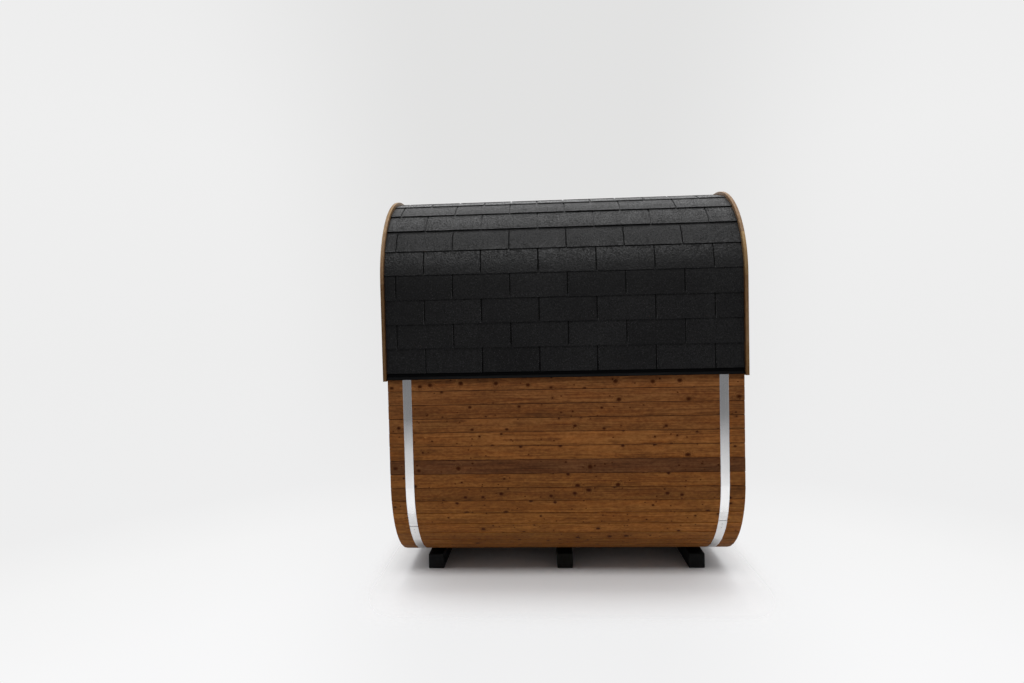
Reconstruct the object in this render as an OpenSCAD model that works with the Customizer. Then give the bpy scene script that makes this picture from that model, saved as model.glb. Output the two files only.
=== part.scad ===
// Cube sauna: a tube of tongue-and-groove boards with a rounded-square
// section, lying on three foot beams. Shingles cover its upper half.
// X runs along the tube, Z is up, and the origin is on the ground under its centre.

/* [Shell] */
// Length of the shell boards
shell_length = 2060; // [1600:10:3600]
// Outer width of the shell, from side to side
shell_width = 2280; // [1900:10:2600]
// Outer height of the shell
shell_height = 2280; // [2250:10:2600]
// Outer radius of the four rounded corners
corner_radius = 550; // [350:5:620]
// Thickness of the shell boards
board_thickness = 42; // [28:1:60]

/* [Foot beams] */
// Height of a foot beam
beam_height = 95; // [70:1:160]
// Width of a foot beam
beam_width = 100; // [60:1:140]
// Length of a foot beam, across the sauna
beam_length = 1600; // [1300:10:1900]
// Gap between an outer beam and the band beside it
beam_to_band_gap = 5; // [2:1:60]

/* [End walls] */
// Thickness of an end wall
end_wall_thickness = 42; // [28:1:60]
// Distance from an end of the shell to the middle of its end wall and band
end_wall_inset = 115; // [95:1:200]

/* [Bands] */
// Width of a steel band
band_width = 50; // [30:1:60]
// Thickness of a steel band
band_thickness = 1; // [0.8:0.1:2]

/* [Roof] */
// Thickness of the lapped shingles
roofing_thickness = 10; // [6:1:25]
// Height of the lowest shingle edge above the middle of the shell
eaves_above_middle = 67; // [0:1:200]
// Width of the strip of shingles along the crown
ridge_cap_width = 290; // [200:10:400]
// Thickness of the strip of shingles along the crown
ridge_cap_thickness = 5; // [3:1:8]

/* [Drip edges] */
// Height of a drip edge below the lowest shingle edge
drip_height = 36; // [25:1:60]
// Height of the upright face of a drip edge, above its kick
drip_face_height = 21; // [15:1:24]
// Distance from the shell to the inside of the upright face
drip_stand_off = 5; // [3:1:9]
// Distance that the kick reaches out from the upright face
drip_kick = 12; // [4:1:14]
// Thickness of the drip edge's sheet metal
drip_sheet = 1.5; // [1:0.1:3]

/* [Fascia] */
// Thickness of a fascia strip, along the tube
fascia_thickness = 20; // [15:1:30]
// Height of a fascia strip above the shingles
fascia_lip = 18; // [4:1:25]
// Width of a fascia strip that lies on the ends of the boards
fascia_overlap = 26; // [15:1:40]
// Distance that a fascia strip reaches below the lowest shingle edge
fascia_drop = 43; // [37:1:90]
// Height of the side joints of the closed end above the middle of the shell
closed_side_joint_height = 387; // [150:1:450]
// Height of the side joints of the door end above the middle of the shell
door_side_joint_height = 197; // [150:1:450]
// Angle of the corner joints of the closed end above the horizontal
closed_corner_joint_angle = 46; // [20:1:80]
// Angle of the corner joints of the door end above the horizontal
door_corner_joint_angle = 26; // [20:1:80]

/* [Door] */
// Width of the door leaf
leaf_width = 684; // [550:2:780]
// Thickness of the door leaf
leaf_thickness = 42; // [30:1:60]
// Gap around the door leaf
leaf_gap = 3; // [2:0.5:6]
// Height of the wall under the door, above the floor
sill_height = 75; // [40:5:150]
// Width of the jambs and height of the head
frame_width = 35; // [25:1:60]
// Distance that the door frame stands out from the wall, on each face
frame_proud = 9; // [4:1:15]
// Height of the threshold
threshold_height = 30; // [20:1:50]
// Height of the wall over the door frame
header_height = 220; // [150:5:400]

/* [Door glass] */
// Width of the glass
glass_width = 400; // [250:5:450]
// Height of the glass
glass_height = 860; // [500:10:1000]
// Thickness of the glass
glass_thickness = 8; // [4:1:12]
// Height of the leaf over the glass
glass_below_top = 150; // [100:5:250]

/* [Door fittings] */
// Height of a hinge
hinge_height = 110; // [70:5:160]
// Width of a hinge plate
hinge_plate_width = 30; // [20:1:34]
// Thickness of a hinge plate
hinge_plate_thickness = 3; // [2:0.5:5]
// Radius of a hinge knuckle
hinge_knuckle_radius = 7; // [5:0.5:10]
// Distance from an end of the leaf to the middle of its hinge
hinge_inset = 250; // [150:10:400]
// Length of a handle grip
grip_length = 320; // [200:10:500]
// Radius of a handle grip
grip_radius = 14; // [10:1:20]
// Distance from the leaf to the axis of a handle grip
grip_stand_off = 42; // [35:1:60]
// Radius of a handle post
post_radius = 8; // [5:1:10]
// Distance from an end of the grip to its post
post_inset = 45; // [30:5:80]
// Height of the middle of the handle above the foot of the leaf
handle_above_foot = 920; // [700:10:1200]
// Distance from the latch edge of the leaf to the handle
handle_inset = 70; // [40:5:110]

/* [Hidden] */
$fn = 96;

wood = "#6e4624";
end_wood = "#7a5030";
fascia_wood = "#a88860";
beam_black = "#1c1b1b";
shingle_black = "#2c2c2f";
metal_black = "#18181a";
steel = "#c3c7cb";

front = -1;
back = 1;
lower = -1;
upper = 1;

// The section: the straight run of each side between two corner arcs.
half_width = shell_width / 2;
half_height = shell_height / 2;
half_length = shell_length / 2;
middle_z = beam_height + half_height;
corner_y = half_width - corner_radius;
corner_z = half_height - corner_radius;

// The room: what is left inside the boards.
room_half_width = half_width - board_thickness;
room_half_height = half_height - board_thickness;
room_corner_radius = corner_radius - board_thickness;
floor_z = middle_z - room_half_height;

// The end walls and the bands that clamp the boards around them.
end_wall_x = half_length - end_wall_inset;
end_wall_face_x = end_wall_x + end_wall_thickness / 2;

// An outer foot beam stands just inside the band at its end.
beam_x = end_wall_x - band_width / 2 - beam_to_band_gap - beam_width / 2;

// The door fills the height between the threshold and the header.
frame_depth = end_wall_thickness + 2 * frame_proud;
door_face_x = end_wall_face_x + frame_proud;
clear_half_width = leaf_width / 2 + leaf_gap;
doorway_half_width = clear_half_width + frame_width;
sill_top_z = floor_z + sill_height;
threshold_top_z = sill_top_z + threshold_height;
leaf_z = threshold_top_z + leaf_gap;
doorway_top_z = middle_z + room_half_height - header_height;
head_z = doorway_top_z - frame_width;
leaf_top_z = head_z - leaf_gap;
glass_z = leaf_top_z - glass_below_top - glass_height;

// The eaves, where the shingles end on both sides.
eaves_z = middle_z + eaves_above_middle;
outer_radius = corner_radius + roofing_thickness;
fascia_outer_radius = outer_radius + fascia_lip;
fascia_inner_radius = corner_radius - fascia_overlap;
fascia_foot_z = eaves_z - fascia_drop;

// Lays a flat section, drawn as (y, z), along the tube from x0 for the given length.
module along_tube(x0, length) {
    translate([x0, 0, 0])
        rotate([90, 0, 90])
            linear_extrude(length)
                children();
}

// A sector of a ring around the origin, between two angles at most 90 degrees apart.
module ring_sector(inner_radius, outer_radius, from_angle, to_angle) {
    reach = 2 * outer_radius;
    half_angle = (from_angle + to_angle) / 2;
    intersection() {
        difference() {
            circle(outer_radius);
            circle(inner_radius);
        }
        polygon([
            [0, 0],
            reach * [cos(from_angle), sin(from_angle)],
            reach * [cos(half_angle), sin(half_angle)],
            reach * [cos(to_angle), sin(to_angle)]
        ]);
    }
}

// Places a section drawn for the corner at +Y and +Z at any of the four corners.
module at_corner(side, level) {
    translate([side * corner_y, middle_z + level * corner_z])
        mirror([side < 0 ? 1 : 0, 0])
            mirror([0, level < 0 ? 1 : 0])
                children();
}

// A rectangle given by its low and high corners.
module span(low, high) {
    translate(low)
        square(high - low);
}

// A full rounded-square section, as four discs joined by two rectangles.
module rounded_square(half_y, half_z, radius) {
    translate([0, middle_z]) {
        span([-half_y, radius - half_z], [half_y, half_z - radius]);
        span([radius - half_y, -half_z], [half_y - radius, half_z]);
        for (side = [front, back], level = [lower, upper])
            translate([side * (half_y - radius), level * (half_z - radius)])
                circle(radius);
    }
}

/* Foot beams */

module foot_beam(x) {
    color(beam_black)
        translate([x - beam_width / 2, -beam_length / 2, 0])
            cube([beam_width, beam_length, beam_height]);
}

/* Shell */

module shell_flat_level(level) {
    outer = level * half_height;
    inner = level * room_half_height;
    color(wood)
        along_tube(-half_length, shell_length)
            span([-corner_y, middle_z + min(outer, inner)], [corner_y, middle_z + max(outer, inner)]);
}

module shell_flat_side(side) {
    outer = side * half_width;
    inner = side * room_half_width;
    color(wood)
        along_tube(-half_length, shell_length)
            span([min(outer, inner), middle_z - corner_z], [max(outer, inner), middle_z + corner_z]);
}

module shell_corner(side, level) {
    color(wood)
        along_tube(-half_length, shell_length)
            at_corner(side, level)
                ring_sector(room_corner_radius, corner_radius, 0, 90);
}

/* End walls */

module end_wall_section() {
    rounded_square(room_half_width, room_half_height, room_corner_radius);
}

module closed_end_wall() {
    color(end_wood)
        along_tube(-end_wall_face_x, end_wall_thickness)
            end_wall_section();
}

// The part of the door wall beside the doorway, on one side.
module door_wall_panel(side) {
    color(end_wood)
        along_tube(end_wall_face_x - end_wall_thickness, end_wall_thickness)
            intersection() {
                end_wall_section();
                mirror([side < 0 ? 1 : 0, 0])
                    span([doorway_half_width, 0], [shell_width, 2 * middle_z]);
            }
}

module door_wall_header() {
    color(end_wood)
        along_tube(end_wall_face_x - end_wall_thickness, end_wall_thickness)
            span([-doorway_half_width, doorway_top_z], [doorway_half_width, middle_z + room_half_height]);
}

module door_wall_sill() {
    color(end_wood)
        along_tube(end_wall_face_x - end_wall_thickness, end_wall_thickness)
            span([-doorway_half_width, floor_z], [doorway_half_width, sill_top_z]);
}

/* Door */

module frame_piece(low, high) {
    color(wood)
        along_tube(door_face_x - frame_depth, frame_depth)
            span(low, high);
}

module door_jamb(side) {
    inner = side * clear_half_width;
    outer = side * doorway_half_width;
    frame_piece([min(inner, outer), threshold_top_z], [max(inner, outer), head_z]);
}

module door_head() {
    frame_piece([-doorway_half_width, head_z], [doorway_half_width, doorway_top_z]);
}

module door_threshold() {
    frame_piece([-doorway_half_width, sill_top_z], [doorway_half_width, threshold_top_z]);
}

module glass_section() {
    span([-glass_width / 2, glass_z], [glass_width / 2, glass_z + glass_height]);
}

module door_leaf() {
    color(wood)
        along_tube(door_face_x - leaf_thickness, leaf_thickness)
            difference() {
                span([-leaf_width / 2, leaf_z], [leaf_width / 2, leaf_top_z]);
                glass_section();
            }
}

module door_glass() {
    color("lightblue", 0.4)
        along_tube(door_face_x - (leaf_thickness + glass_thickness) / 2, glass_thickness)
            glass_section();
}

// A butt hinge on the outer faces of the leaf and the front jamb, centred at height z.
module door_hinge(z) {
    pin_y = -(leaf_width + leaf_gap) / 2;
    color(steel) {
        along_tube(door_face_x, hinge_plate_thickness)
            span([pin_y - hinge_plate_width, z - hinge_height / 2],
                 [pin_y + hinge_plate_width, z + hinge_height / 2]);
        translate([door_face_x + hinge_knuckle_radius, pin_y, z - hinge_height / 2])
            cylinder(r = hinge_knuckle_radius, h = hinge_height);
    }
}

// A grip on posts, standing out from the face at x in the direction given by out.
module handle_grip(x, out) {
    grip_x = x + out * grip_stand_off;
    handle_y = leaf_width / 2 - handle_inset;
    grip_z = leaf_z + handle_above_foot - grip_length / 2;
    translate([grip_x, handle_y, grip_z])
        cylinder(r = grip_radius, h = grip_length);
    for (post_z = [grip_z + post_inset, grip_z + grip_length - post_inset])
        translate([min(x, grip_x), handle_y, post_z])
            rotate([0, 90, 0])
                cylinder(r = post_radius, h = grip_stand_off);
}

module door_handle() {
    color(end_wood) {
        handle_grip(door_face_x, 1);
        handle_grip(door_face_x - leaf_thickness, -1);
    }
}

/* Bands */

module band_section() {
    difference() {
        rounded_square(half_width + band_thickness, half_height + band_thickness,
                       corner_radius + band_thickness);
        rounded_square(half_width, half_height, corner_radius);
    }
}

module band(x) {
    color(steel)
        along_tube(x - band_width / 2, band_width)
            band_section();
}

/* Roof covering */

// Lays roofing along the shell, with a shallow bed in it for each band.
module roofing() {
    color(shingle_black)
        difference() {
            along_tube(-half_length, shell_length)
                children();
            band(-end_wall_x);
            band(end_wall_x);
        }
}

module roofing_side(side) {
    inner = side * half_width;
    outer = side * (half_width + roofing_thickness);
    roofing()
        span([min(inner, outer), eaves_z], [max(inner, outer), middle_z + corner_z]);
}

module roofing_corner(side) {
    roofing()
        at_corner(side, upper)
            ring_sector(corner_radius, outer_radius, 0, 90);
}

module roofing_top() {
    roofing()
        span([-corner_y, middle_z + half_height], [corner_y, middle_z + half_height + roofing_thickness]);
}

module ridge_cap() {
    cap_z = middle_z + half_height + roofing_thickness;
    color(shingle_black)
        along_tube(-half_length, shell_length)
            span([-ridge_cap_width / 2, cap_z], [ridge_cap_width / 2, cap_z + ridge_cap_thickness]);
}

// A bent strip of sheet: a ledge under the shingles, an upright face and a kick outwards.
module drip_edge(side) {
    face_y = drip_stand_off + drip_sheet;
    fold_z = -drip_face_height;
    color(metal_black)
        along_tube(-half_length, shell_length)
            translate([side * half_width, eaves_z])
                mirror([side < 0 ? 1 : 0, 0])
                    polygon([
                        [0, 0],
                        [face_y, 0],
                        [face_y, fold_z],
                        [face_y + drip_kick, -drip_height],
                        [face_y + drip_kick - drip_sheet, -drip_height],
                        [drip_stand_off, fold_z],
                        [drip_stand_off, -drip_sheet],
                        [0, -drip_sheet]
                    ]);
}

/* Fascia */

// Nails a section to the board ends at one end of the tube: -1 is the closed end.
module fascia(end) {
    color(fascia_wood)
        along_tube(end < 0 ? -half_length - fascia_thickness : half_length, fascia_thickness)
            children();
}

module fascia_side(end, side, joint) {
    fascia(end)
        at_corner(side, upper)
            span([fascia_inner_radius, fascia_foot_z - middle_z - corner_z],
                 [fascia_outer_radius, joint - corner_z]);
}

module fascia_corner(end, side, joint, corner_joint) {
    fascia(end)
        at_corner(side, upper) {
            span([fascia_inner_radius, joint - corner_z], [fascia_outer_radius, 0]);
            ring_sector(fascia_inner_radius, fascia_outer_radius, 0, corner_joint);
        }
}

module fascia_top(end, corner_joint) {
    fascia(end)
        for (side = [front, back])
            at_corner(side, upper) {
                span([-corner_y, fascia_inner_radius], [0, fascia_outer_radius]);
                ring_sector(fascia_inner_radius, fascia_outer_radius, corner_joint, 90);
            }
}

foot_beam(-beam_x);  // foot_beam_left
foot_beam(0);  // foot_beam_middle
foot_beam(beam_x);  // foot_beam_right
shell_flat_level(lower);  // shell_floor
shell_flat_side(front);  // shell_front_side
shell_flat_side(back);  // shell_back_side
shell_flat_level(upper);  // shell_ceiling
shell_corner(front, lower);  // shell_corner_front_lower
shell_corner(front, upper);  // shell_corner_front_upper
shell_corner(back, upper);  // shell_corner_back_upper
shell_corner(back, lower);  // shell_corner_back_lower
closed_end_wall();
door_wall_panel(front);  // door_wall_front_panel
door_wall_panel(back);  // door_wall_back_panel
door_wall_header();
door_wall_sill();
door_jamb(front);  // door_jamb_hinge_side
door_jamb(back);  // door_jamb_latch_side
door_head();
door_threshold();
door_leaf();
door_glass();
door_hinge(leaf_top_z - hinge_inset);  // door_hinge_upper
door_hinge(leaf_z + hinge_inset);  // door_hinge_lower
door_handle();
band(-end_wall_x);  // band_left
band(end_wall_x);  // band_right
roofing_side(front);  // roofing_front_side
roofing_corner(front);  // roofing_front_corner
roofing_top();
roofing_corner(back);  // roofing_back_corner
roofing_side(back);  // roofing_back_side
ridge_cap();
drip_edge(front);  // drip_edge_front
drip_edge(back);  // drip_edge_back
fascia_side(-1, front, closed_side_joint_height);  // fascia_left_front_side
fascia_corner(-1, front, closed_side_joint_height, closed_corner_joint_angle);  // fascia_left_front_corner
fascia_top(-1, closed_corner_joint_angle);  // fascia_left_top
fascia_corner(-1, back, closed_side_joint_height, closed_corner_joint_angle);  // fascia_left_back_corner
fascia_side(-1, back, closed_side_joint_height);  // fascia_left_back_side
fascia_side(1, front, door_side_joint_height);  // fascia_right_front_side
fascia_corner(1, front, door_side_joint_height, door_corner_joint_angle);  // fascia_right_front_corner
fascia_top(1, door_corner_joint_angle);  // fascia_right_top
fascia_corner(1, back, door_side_joint_height, door_corner_joint_angle);  // fascia_right_back_corner
fascia_side(1, back, door_side_joint_height);  // fascia_right_back_side
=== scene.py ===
"""A cube sauna: a rounded square tube of boards, with a shingled roof, bent edge boards, two steel
bands, board end walls, a half-glazed door and three foot beams."""
import math

import bpy
import numpy as np
from mathutils import Matrix, Vector


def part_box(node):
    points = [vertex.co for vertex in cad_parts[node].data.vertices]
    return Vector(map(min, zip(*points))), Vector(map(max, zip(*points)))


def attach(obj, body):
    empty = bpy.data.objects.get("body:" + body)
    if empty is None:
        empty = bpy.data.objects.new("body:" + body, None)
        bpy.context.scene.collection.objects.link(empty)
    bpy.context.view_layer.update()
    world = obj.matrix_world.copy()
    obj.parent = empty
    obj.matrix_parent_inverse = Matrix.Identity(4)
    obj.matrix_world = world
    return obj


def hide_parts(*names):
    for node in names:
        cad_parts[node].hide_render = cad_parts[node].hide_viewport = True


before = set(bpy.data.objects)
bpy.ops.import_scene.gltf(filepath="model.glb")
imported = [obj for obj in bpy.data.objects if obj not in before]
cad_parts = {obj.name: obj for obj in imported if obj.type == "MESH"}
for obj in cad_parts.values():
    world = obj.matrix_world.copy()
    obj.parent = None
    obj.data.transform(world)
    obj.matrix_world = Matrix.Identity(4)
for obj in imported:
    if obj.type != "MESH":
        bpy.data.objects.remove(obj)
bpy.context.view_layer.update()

scene = bpy.context.scene

# ---- sizes, from the fixed frame
side_low, side_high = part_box("shell_front_side")
floor_low, floor_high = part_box("shell_floor")
edge_low, edge_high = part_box("fascia_left_front_side")
wall_low, wall_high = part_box("closed_end_wall")

HALF_LENGTH = side_high.x
HALF_WIDTH = -side_low.y
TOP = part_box("shell_ceiling")[1].z
MIDDLE = (floor_low.z + TOP) / 2
FLAT = side_high.z - MIDDLE
RADIUS = HALF_WIDTH - FLAT
ARC = RADIUS * math.pi / 2
GIRTH = 8 * FLAT + 4 * ARC
HALF_GIRTH = GIRTH / 2
CROWN = GIRTH / 4
BOARD_DEPTH = floor_high.z - floor_low.z
ROOM_HALF = HALF_WIDTH - BOARD_DEPTH
ROOM_RADIUS = RADIUS - BOARD_DEPTH

BOARD_COUNT = 100
BOARD_PITCH = GIRTH / BOARD_COUNT

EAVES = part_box("roofing_front_side")[0].z - MIDDLE
ROOF_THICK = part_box("roofing_top")[1].z - TOP
CAP_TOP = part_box("ridge_cap")[1].z - TOP
CAP_HALF_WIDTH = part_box("ridge_cap")[1].y
SHINGLE_TALL = 0.14286
SHINGLE_LAP = 0.026
COURSE_FALL = 0.0062
TAB_WIDE = 1.0 / 3.0
TAB_SLOT = 0.0085
FIRST_CUT = -0.9647
UNDERLAY_TOP = 0.0016

EDGE_FOOT = edge_low.z - MIDDLE
EDGE_LIP = -edge_low.y - HALF_WIDTH
EDGE_UNDER = -0.026
CLOSED_SIDE_JOINT = edge_high.z - MIDDLE
DOOR_SIDE_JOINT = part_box("fascia_right_front_side")[1].z - MIDDLE
CLOSED_CORNER_JOINT = FLAT + RADIUS * math.radians(46)
DOOR_CORNER_JOINT = FLAT + RADIUS * math.radians(26)
CROWN_JOINT = FLAT + ARC + 0.05


# ---- places on the shell
def section(run, out=0.0):
    """Points (y, z) of the rounded square. run is the way along the outer face, from the middle of
    the front side up, over the top and down the back; out is the height above that face. The way is
    folded to one quarter: half a side, an arc and half a side. There y is the arc centre less
    (radius + out) times the cosine of the arc's angle, and z is its height plus the same times the
    sine. The signs put it back in its own quarter."""
    run, out = np.broadcast_arrays(np.asarray(run, float), np.asarray(out, float))
    folded = (run + HALF_GIRTH) % GIRTH - HALF_GIRTH
    ahead = np.abs(folded)
    back = ahead > CROWN
    quarter = np.where(back, HALF_GIRTH - ahead, ahead)
    angle = np.clip((quarter - FLAT) / RADIUS, 0, math.pi / 2)
    beyond = np.clip(quarter - FLAT - ARC, 0, None)
    y = beyond - FLAT - (RADIUS + out) * np.cos(angle)
    z = np.clip(quarter, 0, FLAT) + (RADIUS + out) * np.sin(angle)
    return np.stack([np.where(back, -y, y), MIDDLE + np.where(folded < 0, -z, z)], -1)


def laid(x, run, out):
    """Points (x, y, z) at length x, way run and height out, spread over a common grid."""
    x, run, out = np.broadcast_arrays(np.asarray(x, float), run, out)
    return np.concatenate([x[..., None], section(run, out)], -1)


def carried(outline, run, out=0.0, middle=0.0):
    """Rings and grain of an outline (x, height) carried along the ways run[m, 1]. The grain is the
    way, x less the middle, and the height without out."""
    x, height = outline.T
    grain = np.stack(np.broadcast_arrays(run, x - middle, height), -1)
    return laid(x, run, height + out), grain


def zone(run):
    """Which of the five stretches of a half girth a way lies on: 0 front side, 1 front corner,
    2 top or bottom, 3 back corner, 4 back side."""
    ends = FLAT, FLAT + ARC, 3 * FLAT + ARC, 3 * FLAT + 2 * ARC
    return int(np.searchsorted(ends, abs((run + HALF_GIRTH) % GIRTH - HALF_GIRTH)))


def steepness(run):
    """How far round an upper corner a way lies, in degrees: 0 on the side and 90 on the top. The
    way is folded at the crown, and what is past the flat is divided by the radius."""
    nearest = np.minimum(run, HALF_GIRTH - run)
    return np.degrees(np.clip((nearest - FLAT) / RADIUS, 0, math.pi / 2))


def room_half_height(y):
    """Half height of the room at y, less a hair: the flat's half, plus the root of the inner radius
    squared less the square of the distance past the arc centre."""
    past = np.clip(np.abs(y) - FLAT, 0, ROOM_RADIUS)
    return FLAT + np.sqrt(ROOM_RADIUS**2 - past**2) - 0.0006


# ---- making pieces
def ring_faces(m, n, loop=False):
    """Faces that join m rings of n points: the quads between neighbouring rings, then the first and
    the last ring as ends, unless the rings close into a loop."""
    spot = np.arange(m * n).reshape(m, n)
    lower, upper = (spot, np.roll(spot, -1, axis=0)) if loop else (spot[:-1], spot[1:])
    quads = np.stack([lower, np.roll(lower, -1, axis=1), np.roll(upper, -1, axis=1), upper], -1)
    return quads.reshape(-1, 4), [] if loop else [spot[0][::-1], spot[-1]]


def placed(name, data, material=None):
    """An object of that data in the scene, with its one material where it has any."""
    if material:
        data.materials.append(material)
    made = bpy.data.objects.new(name, data)
    scene.collection.objects.link(made)
    return made


def all_smooth(mesh):
    """Smooth shading on every face."""
    mesh.polygons.foreach_set("use_smooth", np.ones(len(mesh.polygons), bool))


def turned(profile, sides):
    """Rings of points round the z axis, one for each radius and height of the profile."""
    turn = np.linspace(0, 2 * math.pi, sides, endpoint=False)
    radius, height = np.array(profile).T[..., None]
    return np.stack(np.broadcast_arrays(radius * np.cos(turn), radius * np.sin(turn), height), -1)


class Piece:
    """One object gathered from closed solids, each a grid of rings. Every point keeps two
    attributes: grain, its place in the timber or sheet, and lot, three numbers that differ from
    board to board."""

    def __init__(self, name, slot, finish, nodes=()):
        self.name, self.slot, self.finish, self.nodes = name, slot, finish, nodes
        self.points, self.faces, self.grain, self.lot = [], [], [], []
        self.count = 0

    def add(self, rings, grain=None, lot=(0.5, 0.5, 0.0), loop=False, bare=None):
        """Adds rings[m, n] of points. Where the signed volume, a sum of triple products over the
        faces' triangles, says that they look inwards, they are turned. Darkening, where it is given,
        is
        the third number of lot, point by point: black bitumen on shingles, and painted shade on timber
        and in the slots."""
        m, n = rings.shape[:2]
        quads, ends = ring_faces(m, n, loop)
        points = rings.reshape(-1, 3)
        fans = [quads[:, [0, 1, 2]], quads[:, [0, 2, 3]]]
        fans += [np.stack([np.full(n - 2, end[0]), end[1:-1], end[2:]], -1) for end in ends]
        tri = (points - points.mean(0))[np.concatenate(fans)]
        volume = np.einsum("ij,ij->i", tri[:, 0], np.cross(tri[:, 1], tri[:, 2])).sum()
        if volume < 0:
            quads = quads[:, ::-1]
            ends = [end[::-1] for end in ends]
        self.faces += (quads + self.count).tolist() + [(end + self.count).tolist() for end in ends]
        self.points.append(points)
        self.grain.append((rings if grain is None else grain).reshape(-1, 3))
        drawn = np.tile(np.asarray(lot, float), (m * n, 1))
        if bare is not None:
            drawn[:, 2] = bare.ravel()
        self.lot.append(drawn)
        self.count += m * n

    def make(self, sharp=30):
        """Puts the arrays into a mesh, smooth except along edges that turn more than sharp degrees."""
        mesh = bpy.data.meshes.new(self.name)
        mesh.from_pydata(np.concatenate(self.points).tolist(), [], self.faces)
        for label, rows in (("grain", self.grain), ("lot", self.lot)):
            held = mesh.attributes.new(label, "FLOAT_VECTOR", "POINT")
            held.data.foreach_set("vector", np.concatenate(rows).ravel())
        all_smooth(mesh)
        mesh.set_sharp_from_angle(angle=math.radians(sharp))
        mesh.update()
        made = placed(self.name, mesh, self.finish)
        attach(made, "root")
        if self.nodes:
            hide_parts(*self.nodes)


def timber(rng):
    """Where a board was in its log: a shift along it, and the place of the log's heart across and
    behind it."""
    return np.array([rng.uniform(0, 60), rng.uniform(-0.035, 0.035), rng.uniform(0.022, 0.07)])


def lot_of(rng, tone=None):
    """A board's three numbers: how light it is, how golden rather than grey it is, and how dark it is
    made, from 0: painted shade on timber, and black bitumen and painted shade on shingles."""
    light = np.clip(rng.normal(0.5, 0.17), 0.12, 0.9) if tone is None else tone
    return (light, rng.uniform(0, 1), 0.0)


def eight_corners(a0, a1, b0, b1, cut):
    """Outline of a rectangle whose four corners are cut off at 45 degrees."""
    return np.array([(a0 + cut, b0), (a1 - cut, b0), (a1, b0 + cut), (a1, b1 - cut),
                     (a1 - cut, b1), (a0 + cut, b1), (a0, b1 - cut), (a0, b0 + cut)])


def bar(lo, hi, along, chamfer):
    """Rings of a bar between two corners, with every edge chamfered: an eight-cornered outline at
    the two inner rings, and the same outline drawn in by the chamfer at the two end rings."""
    across = [a for a in (0, 1, 2) if a != along]
    rings = np.zeros((4, 8, 3))
    ends = (lo[along], lo[along] + chamfer, hi[along] - chamfer, hi[along])
    for ring, inset, at in zip(rings, (chamfer, 0, 0, chamfer), ends):
        (a0, b0), (a1, b1) = lo[across] + inset, hi[across] - inset
        ring[:, across] = eight_corners(a0, a1, b0, b1, chamfer)
        ring[:, along] = at
    return rings


def bar_grain(rings, along, rng):
    """Grain places of a bar: first the distance along it, then the two ways across it measured from
    its middle, all moved to its place in the log."""
    across = [a for a in (0, 1, 2) if a != along]
    middle = (rings.max((0, 1)) + rings.min((0, 1))) / 2
    local = (rings - middle)[..., [along] + across[::-1]]
    if np.ptp(rings[..., across[0]]) > np.ptp(rings[..., across[1]]):
        local = local[..., [0, 2, 1]]
    return local + timber(rng)


def add_bar(piece, lo, hi, along, chamfer, rng, tone=None, spread=0.0):
    """Adds a bar with its own place in the log. Its tone is drawn, or given and raised by a draw
    times the spread."""
    rings = bar(np.array(lo, float), np.array(hi, float), along, chamfer)
    grain = bar_grain(rings, along, rng)
    if spread:
        tone += spread * rng.random()
    piece.add(rings, grain, lot_of(rng, tone))


def one_bar(name, slot, finish, node, along, chamfer, rng, trim=((0, 0, 0), (0, 0, 0))):
    """A piece that is a single bar, as large as the box of its node less a trim at each corner."""
    low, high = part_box(node)
    piece = Piece(name, slot, finish, (node,))
    add_bar(piece, np.array(low) + trim[0], np.array(high) - trim[1], along, chamfer, rng)
    piece.make()


def sheet_outline(path, thick):
    """A closed outline round an open path of points (a, b): each point is moved half the thickness
    to either side, along the mean of the normals of the two stretches that meet there."""
    path = np.array(path, float)
    step = np.diff(path, axis=0)
    step /= np.linalg.norm(step, axis=1, keepdims=True)
    normal = np.stack([-step[:, 1], step[:, 0]], -1)
    mean = np.concatenate([normal[:1], (normal[:-1] + normal[1:]) / 2, normal[-1:]])
    mean /= np.sum(mean**2, axis=1, keepdims=True) ** 0.5
    return np.concatenate([path + mean * thick / 2, (path - mean * thick / 2)[::-1]])


def screw_head(x, y, z, side, radius, tall, sides=14):
    """Rings of a domed screw head that looks along x: circles of falling radius and rising height,
    then the socket."""
    profile = np.array([(1, 0), (1, 0.45), (0.93, 0.75), (0.78, 1), (0.42, 1), (0.36, 0.35)])
    return turned(profile * (radius, side * tall), sides)[..., [2, 0, 1]] + (x, y, z)


# ---- finishes
def grey(level, blue=0.0):
    """A grey, with a little more or less blue."""
    return (level, level, level + blue)


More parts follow.
